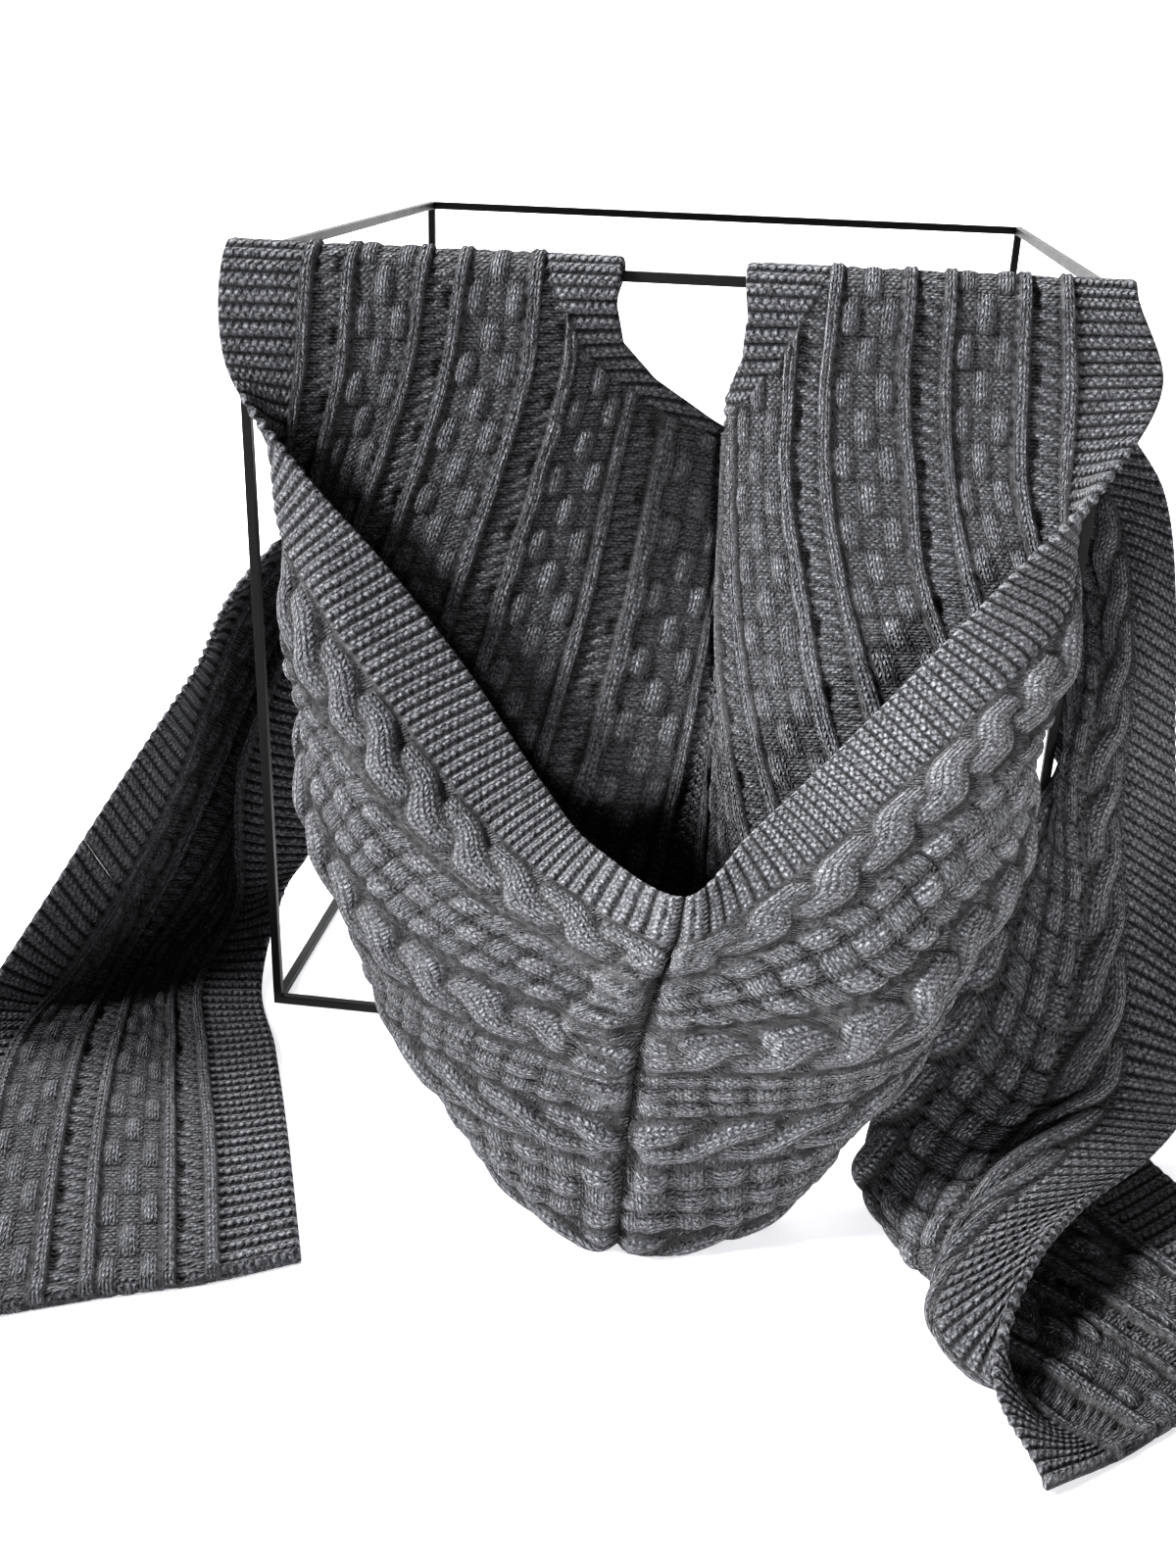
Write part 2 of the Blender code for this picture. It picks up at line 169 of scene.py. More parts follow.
RIGHT_TAIL = {
    0: ((177, 0, 354), (174, 14, 318), (203, 10, 274), (215, 4, 226), (222, -2, 176),
        (230, -12, 127), (237, -36, 82), (237, -73, 45), (215, -108, 37), (188, -136, 34),
        (168, -166, 33), (149, -206, 19), (164, -246, 4)),
    31: ((152, 0, 354), (155, 12, 316), (181, 18, 276), (195, 5, 236), (200, -8, 190),
         (201, -16, 144), (208, -34, 98), (204, -84, 54), (180, -120, 42), (152, -148, 28),
         (132, -186, 14), (164, -212, 3), (189, -228, 3)),
    60: ((124, 0, 354), (128, 14, 316), (150, 28, 274), (176, 24, 240), (183, 0, 200),
         (178, -20, 158), (180, -42, 106), (166, -86, 58), (142, -116, 34), (127, -148, 12),
         (150, -158, 3), (182, -178, 3), (212, -209, 3)),
    85: ((101, 0, 354), (105, 16, 316), (126, 42, 270), (156, 48, 232), (183, 30, 196),
         (184, 5, 160), (163, -24, 116), (146, -58, 76), (121, -82, 34), (112, -104, 9),
         (148, -122, 3), (184, -150, 3), (232, -194, 3)),
    120: ((67, 0, 354), (72, 18, 316), (96, 58, 272), (128, 70, 234), (166, 60, 200),
          (184, 37, 162), (190, 4, 132), (180, -22, 88), (170, -48, 44), (166, -74, 8),
          (194, -98, 3), (222, -130, 3), (260, -170, 3)),
    155: ((36, 0, 354), (42, 20, 316), (66, 66, 276), (98, 84, 240), (140, 78, 208),
          (168, 58, 176), (186, 34, 142), (200, 12, 102), (200, -12, 60), (206, -40, 20),
          (232, -64, 4), (256, -98, 3), (290, -148, 3)),
}
print("lines in the tails' tables:", len(LEFT_TAIL) + len(RIGHT_TAIL))

# %% [markdown]
# ## Smooth curves through the tables
#
# A smooth curve through a few known places is a weighted sum of them, so all the weights can be
# worked out once and the whole sheet found with two products.  It's the same curve that a
# flexible ruler would take when it's pinned at the stations.

# %% Curves


def curve_weights(places, at):
    """Weights of each known place in a smooth curve read at the distances given."""
    places = np.asarray(places, float)
    at = np.atleast_1d(np.asarray(at, float))
    count = len(places)
    step = np.diff(places)
    rise = np.zeros((count - 1, count))
    for i in range(count - 1):
        rise[i, i] = -1 / step[i]
        rise[i, i + 1] = 1 / step[i]
    slope = np.zeros((count, count))
    slope[0] = rise[0]
    slope[-1] = rise[-1]
    for i in range(1, count - 1):
        slope[i] = (rise[i - 1] * step[i] + rise[i] * step[i - 1]) / (step[i - 1] + step[i])
    i = np.clip(np.searchsorted(places, at, side="right") - 1, 0, count - 2)
    t = (at - places[i]) / step[i]
    rows = np.arange(len(at))
    weights = np.zeros((len(at), count))
    weights[rows, i] += (1 + 2 * t) * (1 - t) ** 2
    weights[rows, i + 1] += t * t * (3 - 2 * t)
    weights += (t * (1 - t) ** 2 * step[i])[:, None] * slope[i]
    weights += (t * t * (t - 1) * step[i])[:, None] * slope[i + 1]
    return weights


def ease(x):
    """0 below 0, 1 above 1 and a soft S between."""
    x = np.clip(x, 0, 1)
    return x * x * (3 - 2 * x)


def hump(x, half):
    """A round hump: 1 in its middle, 0 from half away on."""
    return np.sqrt(np.clip(1 - (x / half) ** 2, 0, 1))


print("weights at 25 mm of the hood:", np.round(curve_weights(HOOD_STATIONS, 25)[0], 3))

# %% [markdown]
# ## The cloth
#
# A cloth knows its lines and its stations.  Over the bar it gets one place just before the top
# and one just after, so that it bends over the steel.  The two hood halves run on into one
# another, as they are knitted in one.

# %% The cloth


class Cloth:
    """Where the middle of the knitting lies, at any width and any distance down the strip."""

    def __init__(self, stations, lines, side, way):
        self.side = side
        self.partner = None
        self.widths = [float(w) for w in sorted(lines)]
        table = np.array([lines[w] for w in sorted(lines)], float).transpose(1, 0, 2)
        near = table[0] + (0.0, 6.0 * way, -3.5)
        far = table[0] + (0.0, -6.0 * way, -3.5)
        self.table = np.concatenate((far[None], table[:1], near[None], table[1:]))
        self.stations = [-8.0, 0.0, 8.0] + [float(s) for s in stations[1:]]

    def at(self, width, down):
        """Places for a grid: width is rows by columns, down is one value for each row."""
        lines = np.tensordot(curve_weights(self.stations, down), self.table, 1)
        grid = np.empty(width.shape + (3,))
        for row in range(len(down)):
            grid[row] = curve_weights(self.widths, width[row]) @ lines[row]
        return grid

    def facing(self, width, down):
        """Direction that the right side of the knitting faces."""
        e = 1.5
        across = self.at(width + e, down) - self.at(width - e, down)
        along = self.at(width, down + e) - self.at(width, down - e)
        n = np.cross(across, along) * self.side
        return n / np.maximum(np.linalg.norm(n, axis=2, keepdims=True), 1e-9)


def join_halves(left, right):
    """Let each hood half run on into the other past the centre back and past the crown seam."""
    back = left.widths.index(175.0)
    beyond = {half: other.table[:, back:back + 1] for half, other in ((left, right), (right, left))}
    for half, line in beyond.items():
        half.table = np.concatenate((half.table, line), axis=1)
        half.widths.append(HOOD_DEPTH + 45.0)
    ends = {half: other.table[-2:-1] for half, other in ((left, right), (right, left))}
    for half, row in ends.items():
        half.table = np.concatenate((half.table, row))
        half.stations.append(HOOD_LENGTH + 40.0)
    left.partner = right
    right.partner = left


hood_left = Cloth(HOOD_STATIONS, LEFT_HOOD, 1, -1)
hood_right = Cloth(HOOD_STATIONS, RIGHT_HOOD, -1, -1)
join_halves(hood_left, hood_right)
tail_left = Cloth(LEFT_TAIL_STATIONS, LEFT_TAIL, -1, 1)
tail_right = Cloth(RIGHT_TAIL_STATIONS, RIGHT_TAIL, 1, 1)
print("crown seam at the face edge:", hood_left.at(np.array([[0.0]]), np.array([365.0]))[0, 0])

# %% [markdown]
# ## The rope cables
#
# A rope cable is two strands that change places every ten rows, always the same one on top.  What
# shows is a row of slanting lobes, each coming out from under the one before on the face side and
# diving under the next on the other side.  Each lobe is a round hump that swings across; where
# several overlap, the highest one shows.

# %% Cables


def rope(off, down, start):
    """Height of a cable above the knit, and how far each place is from its strand's middle."""
    height = np.zeros(off.shape)
    inside = off.copy()
    for k in range(-1, int(down.max() / CROSSING) + 2):
        s = (down - start - k * CROSSING) / CROSSING
        middle = SWING * (2 * ease(s + 0.5) - 1)
        crest = 0.78 + 0.22 * np.cos(np.pi * np.clip(s, -1, 1))
        over = crest * np.sqrt(np.clip(1 - (s / 0.95) ** 6, 0, 1))
        plump = 1 + 0.1 * np.sin(k * 2.7 + start)
        lobe = STRAND_RISE * plump * over * hump(off - middle, STRAND) ** 1.4
        inside = np.where(lobe > height, off - middle, inside)
        height = np.maximum(height, lobe)
    return height, inside


demo_height, _ = rope(np.array([[0.0, 6.0]]), np.array([[CABLE_STARTS[0]]]), CABLE_STARTS[0])
print("a crossing stands", np.round(demo_height[0, 0], 2), "mm up in the cable's middle")

# %% [markdown]
# ## Baskets and ribs
#
# Between two cables lie three columns of blocks, by turns knit and purl.  The middle column is one
# block out of step, so it's knit where its neighbours are purl.  A knit block swells like a
# cushion and a purl one is flatter.  On the wrong side two smooth columns of stitches stand up on
# each side of a cable, and together they are a rib.

# %% Baskets and ribs
RIB_COLUMNS = (6.65, 9.4)   # the middles of a rib's two columns, from the cable's middle
RIB_COLUMN = 1.6            # half the width of one


def basket(panel, down, start):
    """Three columns of blocks: the shape of a purl and of a knit block, and whether it's knit."""
    column = np.clip(np.floor(panel * 3), 0, 2)
    x = panel * 3 - column - 0.5
    v = 2 * ((down - start) / CROSSING + np.where(column == 1, 0.5, 0.0))
    block = np.floor(v)
    y = v - block - 0.5
    knit = np.mod(block, 2) < 0.5
    lump = np.clip(1 - (2 * x) ** 4, 0, 1) * np.clip(1 - np.abs(2 * y) ** 5, 0, 1)
    oval = np.clip(1 - np.abs(2 * x) ** 2.4 - np.abs(1.9 * y) ** 2.6, 0, 1) ** 0.7
    return lump, oval, knit


def ribbing(off):
    """The two smooth columns of a rib, by the distance from the cable's middle."""
    inner, outer = RIB_COLUMNS
    return np.maximum(hump(off - inner, RIB_COLUMN), hump(off - outer, RIB_COLUMN))


print("a rib's columns are", round(RIB_COLUMNS[1] - RIB_COLUMNS[0], 2), "mm apart")

# %% [markdown]
# ## A cable on both sides
#
# On the right side a cable stands in a shallow gutter of purl.  On the wrong side the same
# stitches show as a sunken ladder between two ribs, with a pocket beside each crossing.  Each
# place also gets its stitch, counted across, and whether garter, knit or purl shows.

# %% A cable on both sides
GUTTER = 1.6                # how deep the gutter beside a cable is
LADDER = 0.7                # how deep the ladder is
RUNGS = 0.5                 # how far its rungs rise and fall
POCKET = 2.2                # how much deeper a pocket is
CABLE_STITCH = 2.95         # width of a strand's stitch
RIB_STITCH = 2.75           # width of a rib's stitch


def lay(side, where, **values):
    """Put these values on one side of the cloth, wherever the place belongs to this part."""
    for name, value in values.items():
        side[name] = np.where(where, value, side[name])


def cable_column(front, back, width, down, middle, start):
    """A rope cable on the right side, and its ladder and ribs on the wrong side."""
    off = width - middle
    reach = np.abs(off) < RIB_OUTER
    height, inside = rope(off, down, start)
    gutter = -GUTTER * ease((RIB_OUTER - np.abs(off)) / 1.5)
    lay(front, reach, height=np.maximum(height, gutter), garter=0.0)
    lay(front, reach & (height > 0.25), across=inside / CABLE_STITCH + 0.5, knit=1.0)
    phase = (down - start) / CROSSING
    sway = 0.5 * np.cos(2 * np.pi * phase)
    rib = RIB_RISE * ribbing(np.abs(off) + sway * np.sign(off))
    near = np.abs(phase - np.round(phase)) * CROSSING
    pocket = POCKET * np.exp(-(near / 4.0) ** 2 - ((off - 3.6) / 1.7) ** 2)
    rungs = RUNGS * np.sin(2 * np.pi * down / RIDGE + 0.45 * off)
    in_rib = np.abs(off) > RIB_INNER
    lay(back, reach, height=np.where(in_rib, rib, -LADDER + rungs - pocket), garter=0.0)
    lay(back, reach & in_rib, across=(np.abs(off) - 8.0) / RIB_STITCH, knit=1.0)


print("a pocket is", round(LADDER + RUNGS + POCKET, 2), "mm deep at most")

# %% [markdown]
# ## A basket on both sides
#
# Where one side shows a knit block, the other shows a purl one, so both sides come from one count
# of blocks.  Neighbouring blocks aren't equally plump, which keeps the panel from looking stamped.

# %% A basket on both sides
BLOCK_BACK = 0.7            # how far the seams between blocks lie back


def basket_column(front, back, width, down, middle, start, last):
    """The blocks between a cable and the next, as far as the last place that has any."""
    panel = (width - middle - RIB_OUTER) / (CABLE_SPACING - 2 * RIB_OUTER)
    inside = (panel > 0) & (panel < 1) & (width < last)
    lump, oval, knit = basket(panel, down, start)
    turn = 4.7 * np.floor(panel * 3) + 1.3 * np.floor(2 * down / CROSSING) + middle
    plump = 1 + 0.22 * np.sin(turn)
    right = np.where(knit, 2.6 * oval, 1.8 * lump) * plump - BLOCK_BACK
    wrong = np.where(knit, 0.6 * lump, 2.3 * oval) * plump - BLOCK_BACK
    for side, height, raised in ((front, right, knit), (back, wrong, ~knit)):
        lay(side, inside, height=height, across=panel * 9, knit=raised * 1.0, garter=0.0)


print("a block is", round((CABLE_SPACING - 2 * RIB_OUTER) / 3, 2), "by", CROSSING / 2, "mm")

# %% [markdown]
# ## The whole stitch pattern
#
# A side starts as garter stitch, and the cables and baskets are laid over it.  Then the garter
# bands come back along the neckline and along a tail's inner edge.  Garter ridges are counted down
# the strip.  On the hood, cable and basket rows are counted along the cloth as it hangs, because
# the hood stretches under its own weight and takes its rows with it.

# %% Pattern


def inner_band(front, back, width, level, edge, hood):
    """How much each place belongs to the garter band on the inner edge, and a tail's last rib."""
    if hood:
        band = 30.5 - 11.5 * ease(level / 40.0)
        return ease((width - edge[:, None] + band) / 1.5) * ease((100.0 - level) / 6.0)
    off = np.abs(width - CABLES[TAIL_CABLES])
    rib = (width > LAST_RIB) & (width < INNER_BAND)
    lay(back, rib, height=RIB_RISE * ribbing(off), across=(off - 8.0) / RIB_STITCH, knit=1.0,
        garter=0.0)
    lay(front, rib, height=-0.6, garter=0.0)
    return ease((width - INNER_BAND) / 1.5)


def pattern(width, level, knitted, edge, hood):
    """Heights and stitches of the right side and the wrong side, for a grid of places.

    Level is the distance down by ridges, knitted is the same along the hanging cloth."""
    level = level[:, None] + np.zeros(width.shape)
    ridge = RIDGE_RISE * (1 - 2 * np.abs(np.cos(np.pi * level / RIDGE)) ** 3)
    front = {"height": ridge.copy(), "across": width / STITCH, "garter": np.ones(width.shape),
             "knit": np.zeros(width.shape)}
    back = {name: value.copy() for name, value in front.items()}
    cables = len(CABLES) if hood else TAIL_CABLES
    for middle, start in zip(CABLES[:cables], CABLE_STARTS):
        cable_column(front, back, width, knitted, middle, start)
    last = HOOD_DEPTH if hood else LAST_RIB
    for number, middle in enumerate(CABLES[:min(cables, len(CABLES) - 1)]):
        start = CABLE_STARTS[number] + 7.0 * number
        basket_column(front, back, width, knitted, middle, start, last)
    in_band = inner_band(front, back, width, level, edge, hood)
    for side in (front, back):
        side["height"] = side["height"] * (1 - in_band) + ridge * in_band
        lay(side, in_band > 0.5, garter=1.0, knit=0.0, across=width / STITCH)
        side["count"] = np.where(side["garter"] > 0.5, level, knitted) / ROW
    return front, back


sample, _ = pattern(np.array([[15.0, 40.0, 60.0]]), np.array([RIDGE / 2]),
                    np.full((1, 3), RIDGE / 2), np.array([155.0]), True)
print("heights on band, cable and basket:", np.round(sample["height"][0], 2))

# %% [markdown]
# ## Columns and rows of the mesh
#
# A rope cable needs a place about every millimetre across, a garter band only every three.  Down
# the strip four rows of places make one garter ridge, and the first lies in the groove between
# two ridges.

# %% Grid
RIM = (0.35, 0.9, 1.6)      # places close together, where the edge turns round


def columns(last, hood):
    """Distances from the face edge where the mesh has a column."""
    marks = [0.0, *RIM, 2.4]
    marks += list(np.linspace(5.0, BAND, 10))
    for number, middle in enumerate(CABLES if hood else CABLES[:TAIL_CABLES]):
        marks += list(np.linspace(middle - RIB_OUTER, middle + RIB_OUTER, 24))
        if number < len(CABLES) - 1:
            after = middle + CABLE_SPACING - RIB_OUTER
            marks += list(np.linspace(middle + RIB_OUTER, after, 18)[1:-1])
    if not hood:
        marks += list(np.linspace(LAST_RIB + 0.25, INNER_BAND, 7))
        marks += list(np.linspace(INNER_BAND + 2.5, last - 2.4, 10))
        marks += [last - step for step in reversed(RIM)]
    marks = sorted(m for m in marks if m < last - 0.2)
    kept = [marks[0]]
    for m in marks[1:]:
        if m - kept[-1] > 0.3:
            kept.append(m)
    return np.array(kept + [last])


def rows(start, end, start_free, end_free):
    """Distances down the strip where the mesh has a row: four to a ridge, closer at a free end."""
    quarter = RIDGE / 4
    inner = np.arange(math.ceil(start / quarter), math.floor(end / quarter) + 1) * quarter
    marks = list(inner[(inner > start + 0.4) & (inner < end - 0.4)])
    if end_free:
        marks = [m for m in marks if m < end - 2.6] + [end - 2.4]
        marks += [end - step for step in reversed(RIM)]
    return np.array([start] + marks + [end])


print("hood grid:", len(rows(0, HOOD_LENGTH, False, False)), "x", len(columns(HOOD_DEPTH, True)))

# %% [markdown]
# ## Folds
#
# Heavy knitting doesn't hang evenly.  Each row of the table is one soft trough or ridge: the
# width and the distance down where it starts and ends, how broad it is, and how far it lifts the
# cloth towards its right side (less than 0 sinks it).

# %% Folds
FOLDS = {
    "hood_left": ((62, 118, 95, 210, 9, -2.2), (108, 215, 150, 300, 10, 2.2),
                  (100, 265, 128, 345, 8, -2.4), (150, 240, 180, 320, 9, -2.0),
                  (48, 262, 70, 335, 6, 1.4), (20, 120, 24, 180, 7, 1.2)),
    "hood_right": ((64, 130, 98, 205, 8, -2.0), (112, 215, 148, 290, 10, 2.0),
                   (96, 255, 122, 335, 9, -2.2), (60, 245, 66, 330, 7, 1.8),
                   (150, 250, 176, 325, 8, -1.8)),
    "tail_left": ((20, 60, 36, 150, 8, 1.8), (60, 180, 96, 300, 10, -2.2),
                  (112, 300, 120, 360, 8, 1.6), (50, 440, 64, 520, 12, 0.8)),
    "tail_right": ((40, 60, 30, 150, 8, -1.8), (15, 200, 34, 290, 9, 1.8),
                   (70, 190, 92, 260, 9, -2.0), (40, 300, 70, 380, 9, -1.6)),
}


def fold_lift(folds, width, down):
    """How far the folds move each place, in millimetres."""
    lift = np.zeros(width.shape)
    for w0, d0, w1, d1, broad, high in folds:
        run = np.array((w1 - w0, d1 - d0), float)
        length = np.linalg.norm(run)
        run /= length
        dw = width - w0
        dd = down[:, None] - d0
        along = (dw * run[0] + dd * run[1]) / length
        aside = dw * run[1] - dd * run[0] + 1.5 * np.sin(along * 5.0 + w0)
        ends = ease(along / 0.3) * ease((1 - along) / 0.3)
        lift += high * ends * np.exp(-(aside / broad) ** 2)
    return lift


print("folds:", sum(len(f) for f in FOLDS.values()))

# %% [markdown]
# ## Which way the cloth faces
#
# The relief stands out along the direction that the right side faces.  Along the centre back and
# the crown the two hood halves share one direction, so that their edges meet without a gap.

# %% Facing


def blur(field, times):
    """A field softened along and across the grid."""
    for _ in range(times):
        padded = np.pad(field, ((1, 1), (1, 1)) + ((0, 0),) * (field.ndim - 2), mode="edge")
        field = (2 * padded[1:-1, 1:-1] + padded[:-2, 1:-1] + padded[2:, 1:-1]
                 + padded[1:-1, :-2] + padded[1:-1, 2:]) / 6
    return field


def facing(cloth, width, down, hood):
    """Where the right side faces, shared by both halves along the hood's centre back and crown."""
    n = cloth.facing(width, down)
    if hood:
        shared = np.maximum(ease((width - 206.0) / 14.0),
                            ease((down[:, None] - 351.0) / 14.0) + np.zeros(width.shape))
        other = cloth.partner.facing(width, down)
        n = n * (1 - 0.5 * shared[..., None]) + other * (0.5 * shared[..., None])
    n = blur(n, 3)
    return n / np.maximum(np.linalg.norm(n, axis=2, keepdims=True), 1e-9)


spot = np.zeros((5, 5))
spot[2, 2] = 1
print("a spot of 1 blurred twice keeps", np.round(blur(spot, 2)[2, 2], 3))

# %% [markdown]
# ## Edges and the crown seam
#
# Towards a free edge the wall gets thin and round, as a knitted edge does, with a small knob at
# each ridge and a looped cord along the hem.  At the crown the halves are sewn together: a groove
# with a raised line beside it and, on the left half, a lumpy strip of seam allowance.  The pattern
# fades out where the seam takes over.

# %% Edges and seam
EDGE_ROUND = 2.3            # how far from a free edge the wall starts to thin
HEM = 2.6                   # half the width of the cord along a hem
SEAM_STRIP = 6.5            # how far the strip beside the crown seam stands up


def rounded_edge(down, width, edge, hood, free_end):
    """How thin the wall gets towards the free edges, and the knobs and hem that lie on them."""
    inner_edge = edge[:, None] - width
    if hood:
        inner_edge = inner_edge + 6 * ease((down[:, None] - 72.0) / 6.0)
    free = np.minimum(width, inner_edge)
    if free_end:
        free = np.minimum(free, (down[-1] - down)[:, None])
    thin = np.sqrt(1 - (1 - np.clip(free / EDGE_ROUND, 0, 1)) ** 2)
    knobs = 0.45 * (1 - 2 * np.abs(np.cos(np.pi * down / RIDGE)) ** 3)[:, None]
    lip = knobs * np.exp(-((width - 1.6) / 1.4) ** 2)
    if free_end:
        loops = 0.9 + 0.3 * np.sin(2 * np.pi * width / 6.2)
        lip = lip + hump(down[-1] - down - HEM, HEM)[:, None] * loops
    return thin, lip


def crown_seam(width, down, raised):
    """Height of the crown seam, and how far the pattern gives way to it."""
    to_seam = HOOD_LENGTH - down[:, None]
    wander = 1.2 * np.sin(width / 9.0) + 0.8 * np.sin(width / 3.7)
    knobbly = 0.8 + 0.25 * np.sin(width / 2.9 + 1.0) + 0.15 * np.sin(width / 1.1)
    groove = 1.9 * ease((2.6 - to_seam) / 2.6)
    seam = 2.0 * knobbly * hump(to_seam - 5.0 - wander, 3.6) - groove
    plain = 1 - ease((to_seam + 4) / 9.0)
    if raised:
        strip = ease((width - 33.0) / 12.0) * ease((118.0 - width) / 25.0)
        plain = np.maximum(plain, 0.8 * strip * ease((19.0 - to_seam) / 5.0))
        seam += SEAM_STRIP * strip * knobbly * hump(to_seam - 9.5 - 2 * wander, 7.5) ** 1.3
    return seam, plain


demo_seam, _ = crown_seam(np.linspace(0, 220, 441)[None, :], np.linspace(330, 365, 71), True)
print("the crown seam stands", np.round(demo_seam.max(), 1), "mm up at most")

# %% [markdown]
# ## From skins to a closed mesh
#
# The right side and the wrong side are two skins over the same grid.  They are joined round the
# rim, and each place keeps its stitch and its height as named values, which the wool reads later.

# %% Closed mesh


def close_sheet(name, side, right, wrong, front, back):
    """Mesh of two skins joined round the rim, with the stitches as named values on the places."""
    nr, nc = right.shape[:2]
    low = nr * nc
    index = np.arange(low).reshape(nr, nc)
    a, b = index[:-1, :-1].ravel(), index[:-1, 1:].ravel()
    c, d = index[1:, 1:].ravel(), index[1:, :-1].ravel()
    rim = np.concatenate((index[0, :-1], index[:-1, -1], index[-1, :0:-1], index[:0:-1, 0]))
    turn = np.roll(rim, -1)
    faces = np.concatenate((np.stack((a, b, c, d), 1), low + np.stack((a, d, c, b), 1),
                            np.stack((rim, low + rim, low + turn, turn), 1)))
    if side < 0:
        faces = faces[:, ::-1]
    verts = np.concatenate((right.reshape(-1, 3), wrong.reshape(-1, 3))) / 1000.0
    mesh = bpy.data.meshes.new(name)
    mesh.vertices.add(len(verts))
    mesh.vertices.foreach_set("co", verts.ravel())
    mesh.loops.add(faces.size)
    mesh.loops.foreach_set("vertex_index", faces.ravel().astype(np.int32))
    mesh.polygons.add(len(faces))
    mesh.polygons.foreach_set("loop_start", np.arange(0, faces.size, 4, dtype=np.int32))
    mesh.polygons.foreach_set("use_smooth", np.ones(len(faces), bool))
    mesh.update(calc_edges=True)
    mesh.validate()
    across = np.concatenate((front["across"].ravel(), back["across"].ravel()))
    count = np.concatenate((front["count"].ravel(), back["count"].ravel()))
    stitch = mesh.attributes.new("stitch", "FLOAT_VECTOR", "POINT")
    stitch.data.foreach_set("vector", np.stack((across, count, 0 * count), 1).ravel())
    for word in ("garter", "knit", "height"):
        values = np.concatenate((front[word].ravel(), back[word].ravel()))
        mesh.attributes.new(word, "FLOAT", "POINT").data.foreach_set("value", values)
    piece = bpy.data.objects.new(name, mesh)
    bpy.context.scene.collection.objects.link(piece)
    print(name, "triangles", 2 * len(faces))
    return piece


print("a sheet's wall is", 2 * HALF_WALL, "mm before its relief")

# %% [markdown]
# ## From grid to sheet
#
# The two skins are set apart by the wall and the relief.  Over the bar the relief is pressed low.
# The height that is kept for the wool is measured against the places around it, so that the wool
# can get a painted shade in every crease.  What would go below the floor is pressed flat on it.

# %% Sheets
CREASE_REACH = 9            # how often the height is blurred to tell a crease from its surroundings
OVER_BAR = 0.6              # how much of the wrong side's relief is left over the bar


def make_sheet(name, cloth, folds, down, width, edge, hood, free_end):
    """A closed sheet of knitting with its stitches noted on every place."""
    middle = cloth.at(width, down)
    knitted = down[:, None] + 0 * width
    if hood:
        step = cloth.at(width, down + 2.0) - cloth.at(width, down - 2.0)
        along = np.linalg.norm(step, axis=2) / 4.0
        knitted = down[0] + np.cumsum(along * np.gradient(down)[:, None], axis=0)
    front, back = pattern(width, down, knitted, edge, hood)
    n = facing(cloth, width, down, hood)
    middle = middle + n * fold_lift(folds, width, down)[..., None]
    stretch = np.linalg.norm(np.gradient(middle, axis=1), axis=2)
    stretch /= np.maximum(np.gradient(width, axis=1), 1e-6)
    stretch = blur(np.clip(stretch, 0.8, 1.35), 4)

    thin, lip = rounded_edge(down, width, edge, hood, free_end)
    off_bar = ease(np.abs(down) / 14.0)[:, None]
    up = HALF_WALL + front["height"] * stretch * off_bar + lip
    low = HALF_WALL + back["height"] * (OVER_BAR + (1 - OVER_BAR) * off_bar) + lip
    if hood:
        seam, plain = crown_seam(width, down, cloth.side > 0)
        up = up * (1 - plain) + HALF_WALL * plain + seam
        front["height"] = front["height"] * (1 - plain) + seam
    # the height against its surroundings, which the wool turns into painted shade in the creases
    for skin in (front, back):
        skin["height"] = skin["height"] - blur(skin["height"], CREASE_REACH)
    right = middle + n * (up * np.maximum(thin, 0.1))[..., None]
    wrong = middle - n * (low * np.maximum(thin, 0.1))[..., None]

    # on the floor the lower skin lies flat
    lying = 1 - ease((middle[..., 2] - 3.4) / 5.0)
    for skin, other in ((right, wrong), (wrong, right)):
        under = skin[..., 2] < other[..., 2]
        skin[..., 2] -= np.where(under, 1.4 * lying, 0.0)
        skin[..., 2] = np.maximum(skin[..., 2], 0.02 + 0.25 * (1 - thin))
    return close_sheet(name, cloth.side, right, wrong, front, back)


print("over the bar the wrong side keeps", OVER_BAR, "of its relief")

# %% [markdown]
# ## Knit the hood
#
# Each hood half is a wide piece that is narrow at the neckline, so its columns are drawn together
# there beyond the point where the inner band starts.

# %% Hood halves
hood_rows = rows(AIR, HOOD_LENGTH - AIR, False, False)
hood_edge = np.interp(hood_rows, *zip(*NECKLINE))
hood_edge = np.minimum(hood_edge, HOOD_DEPTH - AIR)
hood_columns = columns(HOOD_DEPTH, True)
share = np.clip((hood_columns - INNER_BAND) / (HOOD_DEPTH - INNER_BAND), 0, 1)[None, :]
spare = (hood_edge - INNER_BAND)[:, None]
hood_width = np.minimum(hood_columns, INNER_BAND)[None, :] + share * spare

PIECES = {}
for side, cloth in (("left", hood_left), ("right", hood_right)):
    PIECES[f"hood_{side}_half"] = make_sheet(f"hood_{side}_knit", cloth, FOLDS[f"hood_{side}"],
                                             hood_rows, hood_width, hood_edge, True, False)

# %% [markdown]
# ## Knit the tails
#
# A tail is knitted in one.  It is shown as two pieces that meet in the groove between two garter
# ridges, one for the stretch that hangs and one for the stretch that reaches the floor.

# %% Tails
TAIL_ENDS = {"left": (tail_left, 62 * RIDGE, 580.0), "right": (tail_right, 31 * RIDGE, 570.0)}
tail_columns = columns(STRIP, False)
for side, (cloth, split, length) in TAIL_ENDS.items():
    for stretch, start, end in (("drop", AIR, split - AIR), ("end", split + AIR, length)):
        at_hem = stretch == "end"
        down = rows(start, end, False, at_hem)
        width = np.tile(tail_columns, (len(down), 1))
        edge = np.full(len(down), STRIP)
        PIECES[f"{side}_tail_{stretch}"] = make_sheet(
            f"{side}_tail_{stretch}_knit", cloth, FOLDS[f"tail_{side}"], down, width, edge, False,
            at_hem)

